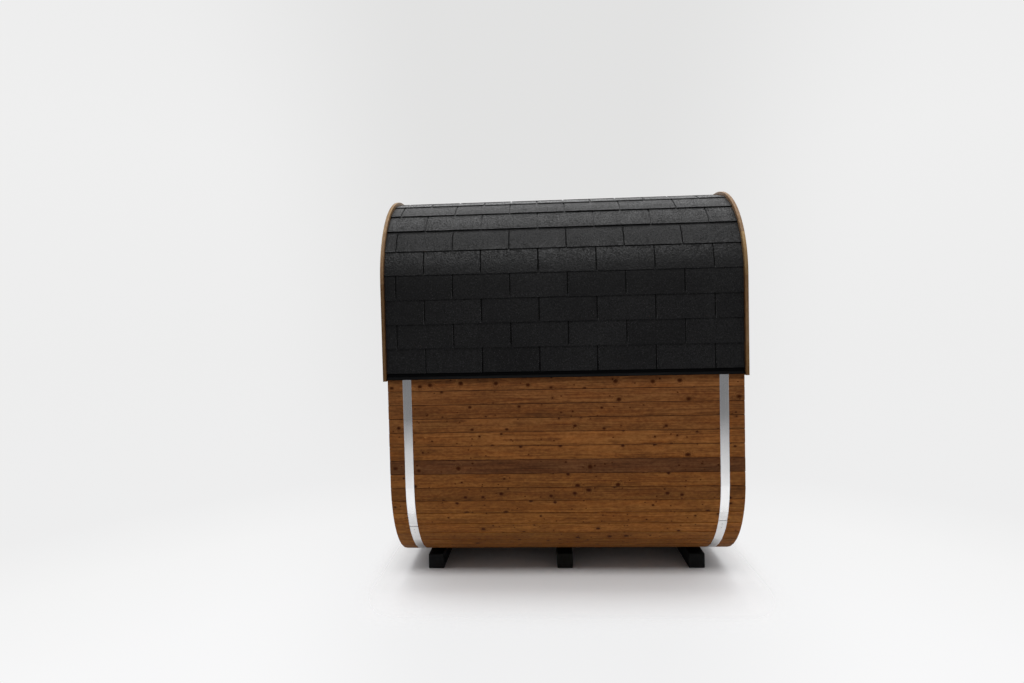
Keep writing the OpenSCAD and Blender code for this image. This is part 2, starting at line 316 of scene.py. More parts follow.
class Nodes:
    """Short calls that add nodes to a tree. A value given to a socket is set on it, and an output is
    linked to it. Colours are three numbers."""

    def __init__(self, tree):
        self.tree = tree

    def node(self, kind, inputs=(), **settings):
        made = self.tree.nodes.new("ShaderNode" + kind)
        for key, value in settings.items():
            setattr(made, key, value)
        for key, value in dict(inputs).items():
            self.give(made.inputs[key], value)
        return made

    def give(self, socket, value):
        if isinstance(value, bpy.types.NodeSocket):
            self.tree.links.new(value, socket)
        else:
            socket.default_value = (*value, 1.0) if socket.type == "RGBA" else value

    def attribute(self, name):
        return self.node("Attribute", attribute_name=name).outputs["Vector"]

    def place(self, kind="Object"):
        return self.node("TexCoord").outputs[kind]

    def parts(self, vector):
        return self.node("SeparateXYZ", {0: vector}).outputs

    def vector(self, operation, a, b=(0.0, 0.0, 0.0)):
        return self.node("VectorMath", {0: a, 1: b}, operation=operation).outputs

    def stretched(self, vector, x, y, z):
        return self.vector("MULTIPLY", vector, (x, y, z))[0]

    def noise(self, vector, scale=1.0, detail=2.0, rough=0.5, output=0):
        return self.node("TexNoise", {"Vector": vector, "Scale": scale, "Detail": detail,
                                      "Roughness": rough}).outputs[output]

    def cells(self, vector, scale, dims="3D"):
        return self.node("TexVoronoi", {"Vector": vector, "Scale": scale},
                         voronoi_dimensions=dims).outputs

    def math(self, operation, a, b=0.0, c=0.0):
        return self.node("Math", {0: a, 1: b, 2: c}, operation=operation).outputs[0]

    def times(self, a, b, plus=None):
        if plus is None:
            return self.math("MULTIPLY", a, b)
        return self.math("MULTIPLY_ADD", a, b, plus)

    def span(self, value, lo, hi, to_lo=0.0, to_hi=1.0, kind="LINEAR"):
        return self.node("MapRange", {0: value, 1: lo, 2: hi, 3: to_lo, 4: to_hi},
                         interpolation_type=kind).outputs[0]

    def eased(self, value, lo, hi, to_lo, to_hi):
        return self.span(value, lo, hi, to_lo, to_hi, "SMOOTHSTEP")

    def ramp(self, value, stops):
        made = self.node("ValToRGB", {0: value})
        held = made.color_ramp.elements
        while len(held) < len(stops):
            held.new(0.5)
        for element, (at, colour) in zip(held, stops):
            element.position = at
            element.color = (*colour, 1.0)
        return made.outputs[0]

    def mix(self, share, a, b, blend="MIX"):
        return self.node("Mix", {0: share, 6: a, 7: b}, data_type="RGBA", blend_type=blend).outputs[2]

    def tint(self, share, colour, by):
        return self.mix(share, colour, by, "MULTIPLY")


class Finish(Nodes):
    """A material of such nodes, with one surface shader."""

    def __init__(self, name):
        self.material = bpy.data.materials.new(name)
        self.material.use_nodes = True
        super().__init__(self.material.node_tree)
        self.tree.nodes.clear()
        self.surface = self.node("BsdfPrincipled")
        self.output = self.node("OutputMaterial")
        self.tree.links.new(self.surface.outputs["BSDF"], self.output.inputs["Surface"])

    def put(self, name, value):
        self.give(self.surface.inputs[name], value)

    def bump(self, height, depth, strength=1.0):
        made = self.node("Bump", {"Height": height, "Distance": depth, "Strength": strength})
        self.put("Normal", made.outputs[0])


RING_WIDTH = 0.0056
KNOTS_PER_METRE = 10.0
PINS_PER_METRE = 15.0
MARKS_PER_METRE = 3.4
KNOT_RADIUS = (0.0045, 0.0108)
STREAKS = (   # stretch along, across and through the board; octaves; share in the tone
    ((1.1, 8, 8), 2.0, 0.5), ((6.5, 17, 17), 3.0, 0.55), ((2.3, 38, 38), 3.0, 0.42),
    ((4.6, 88, 88), 3.0, 0.36), ((11, 200, 200), 2.0, 0.3), ((40, 80, 80), 2.0, 0.8))
GOLDEN, GREYER = (1.02, 1.0, 0.8), (0.98, 1.0, 1.32)
REDDER, GREENER = (1.02, 0.88, 0.72), (0.95, 1.02, 1.02)


def wood(name, dark, mid, light, knots=0.6, pins=0.4, marks=0.06, contrast=1.0, rough=0.55,
         gloss=0.05, dull=(0.55, 0.56, 0.66), bright=(1.35, 1.34, 1.3)):
    """Sawn and oiled timber. Growth rings are the distance from the heart of the log, which wanders
    along the board and swells round knots, over the ring width. Streaks of six widths lie along the
    board. Knots, pin knots and short pale marks are cells, and a knot has a rim and a soft shade.
    The numbers of lot go from dull to bright, from grey to golden, and from none to full painted
    shade, which is mixed towards the deep brown."""
    f = Finish(name)
    grain = f.attribute("grain")
    lot = f.parts(f.attribute("lot"))
    drift = f.noise(f.stretched(grain, 0.9, 5, 5), output=1)
    drift = f.stretched(f.vector("ADD", drift, (-0.5, -0.5, -0.5))[0], 0.02, 0.03, 0.03)
    bent = f.vector("ADD", grain, drift)[0]
    place = f.parts(bent)

    def spots(source, shrink, per_metre, share):
        """Cells over the board: how far their middles are in metres, which of them are used, and
        their own draws."""
        cell = f.cells(f.stretched(source, shrink, 1, 0), per_metre, "2D")
        draw = f.parts(cell["Color"])
        far = f.times(cell["Distance"], 1 / per_metre)
        return far, f.math("GREATER_THAN", draw[0], 1 - share), draw

    # knots
    far, here, draw = spots(bent, 0.78, KNOTS_PER_METRE, knots)
    size = f.span(f.math("POWER", draw[1], 1.5), 0, 1, *KNOT_RADIUS)
    ragged = f.times(f.noise(f.stretched(grain, 160, 220, 0)), 0.005, -0.0025)
    edge = f.math("DIVIDE", f.math("ADD", far, ragged), size)
    core = f.times(here, f.eased(edge, 0.45, 0.95, 1, 0))
    rim = f.times(here, f.eased(edge, 0.95, 1.4, 1, 0))
    shade = f.times(here, f.eased(f.math("DIVIDE", far, size), 0.8, 3.0, 1, 0))
    far, here, draw = spots(grain, 0.8, PINS_PER_METRE, pins)
    pin = f.times(here, f.eased(f.math("ADD", far, ragged), 0.0026, 0.0055, 1, 0))

    # growth rings
    heart = f.math("SQRT", f.math("ADD", f.times(place[1], place[1]), f.times(place[2], place[2])))
    turns = f.math("ADD", f.times(heart, 1 / RING_WIDTH), f.times(shade, 2.6))
    late = f.eased(f.math("FRACT", turns), 0.2, 0.96, 0, 1)
    late = f.times(late, f.span(f.noise(f.stretched(bent, 1.6, 16, 16)), 0.3, 0.7, 0.25, 1))

    # streaks, each less its mean, so that the sum stays about the middle tone
    value = f.times(late, -0.36 * contrast, 0.5 + 0.138 * contrast)
    for stretch, octaves, share in STREAKS:
        streak = f.noise(f.stretched(bent, *stretch), 1.0, octaves, 0.55)
        weight = share * contrast
        value = f.math("ADD", value, f.times(streak, weight, -0.5 * weight))
    fibre = f.noise(f.stretched(grain, 22, 900, 900))
    value = f.math("ADD", value, f.times(fibre, 0.4 * contrast, -0.2 * contrast))
    colour = f.ramp(value, [(0.0, dark), (0.5, mid), (1.0, light)])
    colour = f.tint(1.0, colour, f.ramp(lot[0], [(0.0, dull), (0.5, (1, 1, 1)), (1.0, bright)]))
    stain = f.noise(f.stretched(bent, 3.5, 26, 26), 1.0, 3.0, 0.6)
    for cause, end, most, by in ((lot[1], 1, 0.9, GOLDEN), (lot[1], 0, 0.9, GREYER),
                                 (stain, 0.72, 0.7, REDDER), (stain, 0.3, 0.7, GREENER)):
        colour = f.tint(f.span(cause, 0.5, end, 0, most), colour, by)

    # knots and marks over it, then the painted shade from the third number of lot
    deep = (0.4 * dark[0], 0.2 * dark[1], 0.0)
    heartwood = (0.7 * dark[0], 0.56 * dark[1], 0.3 * dark[2])
    halo = (dark[0], 1.2 * dark[1], 1.5 * dark[2])
    far, here, draw = spots(grain, 0.42, MARKS_PER_METRE, marks)
    far = f.math("ADD", far, f.times(f.noise(f.stretched(grain, 60, 260, 0)), 0.012, -0.006))
    mark = f.times(here, f.eased(far, 0.0, 0.006, 1, 0))
    for where, share, over in ((shade, 0.26, halo), (pin, 0.9, heartwood), (rim, 0.8, heartwood),
                               (core, 0.92, deep), (mark, 0.6, [1.5 * v for v in light]),
                               (lot[2], 0.9, deep)):
        colour = f.mix(f.times(where, share), colour, over)
    f.put("Base Color", colour)
    matt = f.span(fibre, 0.2, 0.8, rough + 0.08, rough - 0.05)
    f.put("Roughness", f.math("SUBTRACT", matt, f.times(core, 0.12)))
    f.put("Specular IOR Level", gloss)
    f.bump(f.times(core, 0.7, f.times(late, 0.5, f.times(fibre, 0.8))), 0.00035, 0.6)
    return f.material


GRITS_PER_METRE = 520
BITUMEN_AND_SLOT_SHADE = grey(0.0018)


def shingle_finish():
    """Felt shingles under black stone grit: grit is cells of 2 mm, over clumps of 8 mm, specks of
    9 mm, patches of 8 cm and slow changes from tab to tab. The third number of lot darkens and dulls
    a point: cut edges are black bitumen, and what lies under the next course, seen in the slots,
    carries painted shade."""
    f = Finish("black_grit")
    place = f.place()
    lot = f.parts(f.attribute("lot"))
    grit = f.cells(place, GRITS_PER_METRE)
    own = f.parts(grit["Color"])[0]
    clump = f.noise(place, 120, 4.0, 0.75)
    speck = f.noise(place, 108, 1.3, 0.6)
    patch = f.noise(place, 13, 3.0)
    slow = f.noise(place, 2.3, 1.0)
    value = f.times(own, 0.34, f.times(clump, 0.9))
    for part, share in ((speck, 1.7), (patch, 0.36), (slow, 0.3)):
        value = f.times(part, share, value)
    value = f.times(lot[0], 0.24, f.math("ADD", value, -1.43))
    colour = f.ramp(value, [(0.0, grey(0.0012, 0.0001)), (0.5, grey(0.0045, 0.0002)),
                            (1.0, grey(0.018, 0.0005))])
    glint = f.math("GREATER_THAN", own, 0.985)
    colour = f.mix(f.times(glint, 0.4), colour, grey(0.1))
    # black bitumen on cut edges, and painted shade on the slot floors
    f.put("Base Color", f.mix(f.span(lot[2], 0.5, 0.9), colour, BITUMEN_AND_SLOT_SHADE))
    gloss = f.math("ADD", f.span(speck, 0.3, 0.7, 0.62, 0.15), f.span(patch, 0.35, 0.65, 0.1, 0.0))
    f.put("Roughness", f.math("MAXIMUM", gloss, f.span(lot[2], 0.3, 0.8)))
    f.put("IOR", 1.24)
    f.put("Sheen Weight", 0.17)
    f.put("Sheen Roughness", 0.3)
    height = f.math("SUBTRACT", f.times(clump, 0.1), f.times(grit["Distance"], 0.1))
    f.bump(f.times(speck, 0.9, height), 0.0022)
    return f.material


def painted_sheet():
    """Black painted steel: a gloss that changes in cloudy patches, fine dust and a faint orange
    peel."""
    f = Finish("black_paint")
    place = f.place()
    dust = f.noise(place, 420)
    f.put("Base Color", f.mix(f.span(dust, 0.5, 0.8), grey(0.0008, 0.0002), grey(0.003)))
    f.put("Roughness", f.span(f.noise(place, 9, 3.0), 0.3, 0.7, 0.34, 0.46))
    f.put("Specular IOR Level", 0.025)
    f.bump(f.noise(place, 260, 1.0), 0.0001, 0.5)
    return f.material


def brushed_steel(name, colour, rough, own_grain, stretch):
    """Stainless steel brushed along its length: scratches are noise drawn out along the grain place
    or along the upright, and broad smears change the roughness."""
    f = Finish(name)
    place = f.attribute("grain") if own_grain else f.place()
    scratch = f.noise(f.stretched(place, *stretch), 1.0, 3.0, 0.6)
    smear = f.noise(place, 7)
    f.put("Metallic", 1.0)
    f.put("Base Color", f.mix(f.span(scratch, 0.3, 0.7), [0.9 * v for v in colour], colour))
    f.put("Roughness", f.times(scratch, 0.08, f.span(smear, 0.3, 0.7, rough - 0.06, rough)))
    f.bump(scratch, 0.00002, 0.5)
    return f.material


def tinted_glass():
    """Grey door glass with faint wipe marks in its gloss."""
    f = Finish("grey_glass")
    wipe = f.noise(f.stretched(f.place(), 3, 9, 3), 1.0, 3.0)
    f.put("Base Color", f.mix(f.span(wipe, 0.35, 0.65), (0.33, 0.35, 0.345), (0.37, 0.385, 0.38)))
    f.put("Roughness", f.span(wipe, 0.4, 0.75, 0.0, 0.02))
    f.put("IOR", 1.5)
    f.put("Transmission Weight", 1.0)
    return f.material


OILED_BROWN = ((0.066, 0.0232, 0.0062), (0.142, 0.0514, 0.012), (0.24, 0.0958, 0.0238))
shell_wood = wood("oiled_shell_boards", *OILED_BROWN, contrast=1.15)
end_wood = wood("oiled_end_boards", *OILED_BROWN, contrast=1.15)
door_wood = wood("oiled_door_timber", (0.1, 0.04, 0.0125), (0.195, 0.082, 0.0245),
                 (0.29, 0.135, 0.044), knots=0.2, pins=0.1, contrast=0.8)
edge_wood = wood("bent_edge_boards", (0.1, 0.056, 0.025), (0.18, 0.107, 0.049),
                 (0.29, 0.188, 0.09), knots=0.14, pins=0.1, marks=0.15, gloss=0.12, rough=0.45,
                 dull=grey(0.2), bright=(1.3, 1.38, 1.36))
beam_wood = wood("black_stained_beams", grey(0.0045), grey(0.0095, -0.0002),
                 (0.019, 0.0185, 0.018), knots=0.3, pins=0.2, marks=0.2, contrast=0.9, rough=0.6)
grit = shingle_finish()
paint = painted_sheet()
band_steel = brushed_steel("brushed_bands", grey(0.86), 0.14, True, (6, 1500, 1500))
fitting_steel = brushed_steel("brushed_fittings", grey(0.6, -0.01), 0.3, False, (900, 900, 12))
glass = tinted_glass()


# ---- shell boards
def shell_board(centre, start, end, set_back):
    """Rings, grain and painted shade of one tongue-and-groove board: a flat face between two chamfers,
    a tongue on its upper side and a groove in its lower side, the same outline at both ends. The
    painted shade darkens the lower chamfer towards the gap and the faces inside the joint, and leaves
    the upper chamfer clear."""
    half = BOARD_PITCH / 2 - 0.0006
    face, inner = 0.0032, 0.0015
    under = -BOARD_DEPTH
    tongue, groove = half + 0.004, -half + 0.005
    outline = np.array([
        (-half + face, 0), (half - face, 0), (half, -face), (half, -0.014), (tongue, -0.015),
        (tongue, -0.027), (half, -0.028), (half, under + inner), (half - inner, under),
        (-half + inner, under), (-half, under + inner), (-half, -0.0285), (groove, -0.0275),
        (groove, -0.0145), (-half, -0.0135), (-half, -face)])
    x = np.array([start, end])[:, None]
    across, out = (outline - (0, set_back)).T
    grain = np.stack(np.broadcast_arrays(x, across, out), -1)
    # painted shade in the joint: the lower chamfer and the faces in the gap are darkened, the upper
    # chamfer is not
    painted_shade = np.where(outline[:, 1] < -inner, 1.0, 0.0)
    painted_shade[2] = 0.0
    return laid(x, centre + across, out), grain, np.tile(painted_shade, (2, 1))


TONES = {"palest": 0.95, "pale": 0.83, "light": 0.64, "mid": 0.52, "mild": 0.42, "low": 0.32,
         "dark": 0.0}
# Tones of the front boards from the top down: partly each board's own tone, and partly painted light,
# as the boards that curve under at the foot are mostly set paler.
FRONT_TONES_AND_PAINTED_LIGHT = ("mild", "low", "low", "low", "mid", "mid", "dark", "mild", "low", "light",
                "pale", "palest", "light", "light")
SHELL_NODES = {
    (0, 0): "shell_front_side", (1, 1): "shell_corner_front_upper", (2, 1): "shell_ceiling",
    (3, 1): "shell_corner_back_upper", (4, 0): "shell_back_side",
    (1, -1): "shell_corner_front_lower", (2, -1): "shell_floor", (3, -1): "shell_corner_back_lower",
}


def build_shell():
    """A hundred boards round the girth, gathered by the stretch that their middles lie on. The boards
    of the front have set tones, partly their own and partly painted light on the paler boards that
    curve under at the foot. They turn from grey to golden on the way down, and every board carries
    painted shade in its joints."""
    rng = np.random.default_rng(41)
    pieces = {}
    for k in range(-BOARD_COUNT // 2, BOARD_COUNT // 2):
        centre = k * BOARD_PITCH
        where = zone(centre)
        node = SHELL_NODES[(where, 0 if where in (0, 4) else (1 if k > 0 else -1))]
        name = node.replace("shell", "boards")
        piece = pieces.setdefault(node, Piece(name, "shell_boards", shell_wood, (node,)))
        seen = -len(FRONT_TONES_AND_PAINTED_LIGHT) < k <= 0
        tone = TONES[FRONT_TONES_AND_PAINTED_LIGHT[-k]] if seen else None
        lot = lot_of(rng, tone)
        if seen:
            lot = (tone, 0.1 - 0.055 * k if tone > 0 else 0.0, 0.0)
        start = -HALF_LENGTH + rng.uniform(0, 0.0012)
        end = HALF_LENGTH - rng.uniform(0, 0.0012)
        # painted shade in each board's joint goes in as the third number of lot
        rings, grain, painted_shade = shell_board(centre, start, end, rng.uniform(0, 0.0006))
        piece.add(rings, grain + timber(rng), lot, bare=painted_shade)
    for piece in pieces.values():
        piece.make()


# ---- roof
ROOF_NODES = ("roofing_front_side", "roofing_front_corner", "roofing_top", "roofing_back_corner",
              "roofing_back_side")
ROOF_REACH = HALF_LENGTH - 0.0006
COURSES = math.ceil((CROWN - EAVES) / SHINGLE_TALL)


def step_at(run):
    """Height of the step at the lower edge of a course: less where the sheets lie flatter."""
    return COURSE_FALL - 0.0025 * np.clip((steepness(run) - 40) / 15, 0, 1)


def slot_shade(degrees):
    """Painted shade on the floor of a slot, this many degrees round the corner: black on the side,
    dark and dull on the lower corner and none above."""
    return np.interp(degrees, [18, 20, 33, 37], [1.0, 0.75, 0.75, 0.0])


def shingle_tab(start, end, low, tall, back, rng, lift):
    """Rings of one tab from start to end, and how dark each point is made: black bitumen on the cut
    edge and the lower face, and painted shade on the part under the next course, which shows in the
    slots. Its outline runs up the slope from its lower edge: the top face falls evenly to the edge of
    the next course, and the lower face lies one sheet below it, thinner towards the top. Lift raises
    the lower edge where the sheet springs from the curve. Where the sheet lies flat the edge is
    rounder, and it is painted as grit rather than black bitumen, a painted light. On the back the way
    is measured from the other eaves."""
    flatness = np.clip((steepness(low) - 52) / 18, 0, 1)
    up = np.concatenate([[0.0, 0.0011 + 0.0024 * flatness], np.linspace(0.036, tall, 4)])
    spring = lift * (1 - 0.5 * flatness) * np.clip(1 - up / SHINGLE_TALL, 0, 1) ** 2
    top = ROOF_THICK - step_at(low + SHINGLE_TALL) * up / SHINGLE_TALL + spring
    top[0] -= 0.0009 + 0.0016 * flatness
    sheet, thinnest = step_at(low) - 0.0008, 0.0014
    thick = sheet + spring * 0.8 - (sheet - thinnest) * np.clip((up - 0.03) / (tall - 0.03), 0, 1)
    slip = np.array([rng.uniform(-most, most) for most in (0.0006, 0.0005, 0.0006)])[:, None]
    along = np.concatenate([up, up[::-1]])
    height = np.concatenate([top, (top - thick)[::-1]])
    height[-1] += 0.0009
    # painted shade on the part under the next course, which shows in the slots
    painted_slot_shade = slot_shade(steepness(low + SHINGLE_TALL) + 1)
    # painted light: where the sheet lies flat, the cut edge is painted as grit instead of black
    # bitumen, paler as if lit
    bare = np.concatenate([[1 - flatness], np.where(up[1:] > SHINGLE_TALL, painted_slot_shade, 0.0),
                           np.ones(len(up))])
    x = np.array([start, (start + end) / 2, end])[:, None]
    run = low + along + slip * np.clip(1 - along / 0.04, 0, 1)
    return laid(x, HALF_GIRTH - run if back else run, height), np.tile(bare, (3, 1))


def build_shingles(rng):
    """Courses of three-tab strips up both slopes, every other course half a tab over. A strip is
    laid a little out of place as a whole."""
    pieces = {n: Piece(n.replace("roofing", "shingles"), "shingles", grit, (n,)) for n in ROOF_NODES}
    for back in (False, True):
        for course in range(COURSES):
            low = EAVES + course * SHINGLE_TALL
            tall = min(SHINGLE_TALL + SHINGLE_LAP, CROWN - low - 0.001)
            first = FIRST_CUT + (TAB_WIDE / 2 if course % 2 == 0 else 0)
            middle = low + SHINGLE_TALL / 2
            node = ROOF_NODES[zone(HALF_GIRTH - middle if back else middle)]
            springing = 0.0024 * np.clip((steepness(low) - 8) / 30, 0, 1)
            shift, slip = 0.0, 0.0
            for tab in range(-2, 8):
                if (tab + course) % 3 == 0:
                    shift = rng.uniform(-0.0015, 0.0015)
                    slip = rng.uniform(-0.0012, 0.0012) * (course > 0)
                start = max(first + tab * TAB_WIDE + TAB_SLOT / 2 + shift, -ROOF_REACH)
                end = min(first + (tab + 1) * TAB_WIDE - TAB_SLOT / 2 + shift, ROOF_REACH)
                if end - start < 0.012:
                    continue
                lift = springing * rng.uniform(0.4, 1.2)
                rings, bare = shingle_tab(start, end, low + slip, tall, back, rng, lift)
                pieces[node].add(rings, lot=lot_of(rng), bare=bare)
    for piece in pieces.values():
        piece.make()


def build_underlay():
    """The layer under the slots, and a starter strip at each eaves. Its top follows the falling
    face of every course, less the depth of a slot, which is smaller round the corner. Where it shows
    in the slots it carries a darker tone and painted shade."""
    underlay = Piece("roof_underlay", "shingles", grit)
    low = EAVES + SHINGLE_TALL * np.arange(COURSES)[:, None]
    up = np.linspace(0.003, SHINGLE_TALL + 0.0028, 8)
    depth = 0.0084 - 0.0042 * np.clip((steepness(low) - 8) / 18, 0, 1)
    height = np.maximum(ROOF_THICK - COURSE_FALL * up / SHINGLE_TALL - depth, UNDERLAY_TOP)
    run = np.concatenate([[EAVES], np.minimum(low + up, CROWN).ravel()])
    height = np.concatenate([[UNDERLAY_TOP], height.ravel()])
    run = np.concatenate([run, HALF_GIRTH - run[-2::-1]])
    height = np.concatenate([height, height[-2::-1]])
    around = np.concatenate([run, run[::-1]])
    height = np.concatenate([height, np.full(len(run), 0.0006)])
    x = np.array([-ROOF_REACH, ROOF_REACH])[:, None]
    # a darker tone and painted shade for the slot floors, by how far round the corner they lie
    lot = (0.3, 0.5, 1.0)
    bare = np.tile(slot_shade(steepness(around)), (2, 1))
    underlay.add(laid(x, around, height), lot=lot, bare=bare)
    up = EAVES + np.array([0.0, 0.0, 0.1, 0.1])
    for way in (up, HALF_GIRTH - up):
        underlay.add(laid(x, way, np.array([0.0018, 0.0047, 0.0024, 0.0018])), lot=lot)
    underlay.make()


def build_cap(rng):
    """Cap lengths along the crown, each lapping the next: the top falls by 2.1 mm over a length, and
    the lower face lies 2.2 mm below it."""
    cap = Piece("crown_cap", "shingles", grit, ("ridge_cap",))
    across = np.linspace(-CAP_HALF_WIDTH, CAP_HALF_WIDTH, 4)
    for k in range(math.ceil(2 * ROOF_REACH / SHINGLE_TALL)):
        low = ROOF_REACH - k * SHINGLE_TALL
        long = min(SHINGLE_TALL + 0.02, low + ROOF_REACH)
        up = np.array([0.0, 0.0011, 0.05, 0.1, long])
        up = up[up <= long]
        top = CAP_TOP - rng.uniform(0, 0.0003) - 0.0021 * up / SHINGLE_TALL
        top[0] -= 0.0007
        x = low - np.concatenate([up, up[::-1]])
        out = np.concatenate([top, top[::-1] - 0.0022])
        bare = np.where((out < out.max() - 0.0006) & (low - x < 0.01), 1.0, 0.0)
        skew = rng.uniform(-0.001, 0.001, 4)[:, None] * np.clip(1 - (low - x) / 0.03, 0, 1) * (k > 0)
        run = CROWN + across[:, None] * (1 - 0.002 * rng.random())
        cap.add(laid(x + skew, run, out), lot=lot_of(rng), bare=np.tile(bare, (4, 1)))
    cap.make()


def build_roof():
    """The shingles, the layer under them, and the cap."""
    rng = np.random.default_rng(7)
    build_shingles(rng)
    build_underlay()
    build_cap(rng)


# ---- drip edges
def build_drip_edges():
    """A folded black sheet under each eaves: a hidden flange, a small bead, a straight face and a
    kick with its edge turned back. The fold is drawn as (out, below the eaves) and run along."""
    kick = -HALF_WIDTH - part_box("drip_edge_front")[0].y - 0.0009
    shoulder = 0.0062 + 0.06 * (kick - 0.0055)
    fold = [(0.0042, 0.055), (0.004, 0.004), (0.0044, 0.0005), (0.0054, -0.0012),
            (0.0056, -0.0075), (0.0063, -0.0086), (0.0062, -0.0098), (0.0052, -0.0108),
            (0.0051, -0.019), (0.0055, -0.0204), (shoulder, -0.0219), (kick, -0.0343),
            (kick + 0.0001, -0.0352), (kick - 0.0006, -0.0357), (kick - 0.0014, -0.035),
            (kick - 0.005, -0.031)]
    outline = sheet_outline(fold, 0.0011)
    reach = HALF_LENGTH - 0.0004
    x = np.array([-reach, -reach / 3, reach / 3, reach])[:, None]
    run = EAVES + outline[:, 1]
    for way, node in ((run, "drip_edge_front"), (HALF_GIRTH - run, "drip_edge_back")):
        piece = Piece(node.replace("drip_edge", "drip_sheet"), "drip_edges", paint, (node,))
        piece.add(laid(x, way, outline[:, 0]))
        piece.make(sharp=50)


# ---- edge boards of the roof
def edge_board(inner, outer, low, high, rng):
    """Rings, grain and painted shade of one bent board between two ways: an eight-cornered outline
    carried round the section. The painted shade is even on the side, thins out over the first 30
    degrees of the corner and is heavier on the lip's inner face against the shingles."""
    near, far = sorted((inner, outer))
    outline = eight_corners(near, far, EDGE_UNDER, EDGE_LIP - rng.uniform(0.0, 0.0004), 0.0025)
    gap = 0.00015
    count = max(3, int((high - low) / 0.022))
    run = np.linspace(low + gap, high - gap, count)[:, None]
    rings, grain = carried(outline, run, middle=(near + far) / 2)
    # painted shade: darker on the upright part, where less light falls, and on the lip's inner face,
    # where its shade lies
    upright = np.clip(1 - steepness(run) / 30, 0, 1)
    lip = np.where(np.abs(outline[:, 0] - inner) < 1e-6, 0.4, 0.0)
    return rings, grain + timber(rng), 0.5 * upright + lip


def build_edge_boards():
    """Bent boards round both ends of the roof, in lengths that meet at butt joints, fixed with
    countersunk screws."""
    rng = np.random.default_rng(23)
    screws = Piece("edge_board_screws", "fittings", fitting_steel)
    # Tones of the lower side, the upper side, the corner and the top of each end: partly each length's
    # own tone, and partly painted light, paler towards the corner and the top where more light falls.
    for end, sign, side_joint, corner_joint, tones in (
            ("left", -1, CLOSED_SIDE_JOINT, CLOSED_CORNER_JOINT, ("low", "low", "mid", "mild")),
            ("right", 1, DOOR_SIDE_JOINT, DOOR_CORNER_JOINT, ("mild", "mid", "palest", "mid"))):
        inner = sign * HALF_LENGTH
        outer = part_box("fascia_%s_top" % end)[0 if sign < 0 else 1].x - sign * 0.0004
        rise = {"side": [EDGE_FOOT, side_joint], "corner": [side_joint, FLAT, corner_joint],
                "top": [corner_joint, CROWN_JOINT]}
        fall = {place: [HALF_GIRTH - way for way in ways[::-1]] for place, ways in rise.items()}
        for place, ways in (("front_side", rise["side"]), ("front_corner", rise["corner"]),
                            ("top", rise["top"] + [CROWN] + fall["top"]),
                            ("back_corner", fall["corner"]), ("back_side", fall["side"])):
            name = "%s_%s" % (end, place)
            piece = Piece("edge_board_" + name, "fascia", edge_wood, ("fascia_" + name,))
            for low, high in zip(ways, ways[1:]):
                rings, grain, painted_shade = edge_board(inner, outer, low, high, rng)
                nearest = min(low, HALF_GIRTH - high)
                part = int(np.searchsorted([side_joint, FLAT, corner_joint], nearest + 0.01))
                piece.add(rings, grain, lot_of(rng, TONES[tones[part]]), bare=painted_shade)
                count = max(2, round((high - low) / 0.28))
                for y, z in section(np.linspace(low + 0.045, high - 0.045, count), -0.006):
                    screws.add(screw_head(outer, y, z, sign, 0.0042, 0.0004, 12))
            piece.make()
    screws.make()


# ---- bands
def build_bands():
    """Thin steel bands drawn tight round the boards. The band bends at the joints and lies flat on
    each board between them; its ends overlap low on the front, held by two rivets."""
    joints = (np.arange(BOARD_COUNT) + 0.5) * BOARD_PITCH - HALF_GIRTH
    run = np.sort(np.concatenate([joints - 0.0026, joints + 0.0026]))[:, None]
    thick, edge, lap = 0.001, 0.0006, 0.075
    for node, seam in (("band_left", -0.878), ("band_right", -0.842)):
        low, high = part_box(node)
        a0, a1 = low.x, high.x
        piece = Piece("steel_" + node, "bands", band_steel, (node,))
        outline = np.array([(a0, 0.0), (a1, 0.0), (a1, edge), (a1 - edge, thick),
                            (a0 + edge, thick), (a0, edge)])
        rings, grain = carried(outline, run)
        piece.add(rings, grain, loop=True)
        under = run[(run[:, 0] > seam - lap) & (run[:, 0] < seam), 0]
        way = np.concatenate([[seam - lap], under, [seam]])[:, None]
        rings, grain = carried(outline, way, 0.00095)
        rings[:, :, 0] += np.linspace(0.0006, -0.0004, len(way))[:, None]
        piece.add(rings, grain + (3, 0, 0))
        piece.make(sharp=24)
        rivets = Piece(node + "_rivets", "fittings", fitting_steel)
        profile = [(0.004, 0.0008), (0.004, 0.0021), (0.003, 0.0027), (0.0012, 0.003)]
        x, way, out = np.moveaxis(turned(profile, 14), -1, 0)
        for middle in (seam - 0.025, seam - 0.055):
            rivets.add(laid((a0 + a1) / 2 + x, middle + way, out))
        rivets.make()


# ---- end walls
def upright_board(y0, y1, side, foot):
    """Rings and grain of one upright board between y0 and y1: chamfered edges on both faces, and
    ends that follow the room's ceiling and its floor, or a level foot."""
    chamfer = 0.003
    face, back = side * wall_low.x, side * wall_high.x
    c = -side * chamfer
    ys = np.linspace(y0 + chamfer, y1 - chamfer, 5)
    x, y = np.array([(face, y) for y in ys] + [(face - c, y1), (back + c, y1)]
                    + [(back, y) for y in ys[::-1]] + [(back + c, y0), (face - c, y0)]).T
    tall = room_half_height(y)
    low = MIDDLE - tall if foot is None else np.full(len(y), foot)
    rings = np.stack([np.stack([x, y, z], -1) for z in (low, MIDDLE + tall)])
    x, y, z = np.moveaxis(rings, -1, 0)
    return rings, np.stack([z, y - (y0 + y1) / 2, side * (face - x)], -1)


def board_wall(node, name, start, end, count, side, foot, rng):
    """A piece of boards of one width, side by side from start to end. Side is 1 at the closed end
    and -1 at the door end."""
    piece = Piece(name, "end_walls", end_wood, (node,))
    edges = np.linspace(start, end, count + 1)
    for y0, y1 in zip(edges, edges[1:]):
        rings, grain = upright_board(y0, y1, side, foot)
        piece.add(rings, grain + timber(rng), lot_of(rng))
    piece.make()


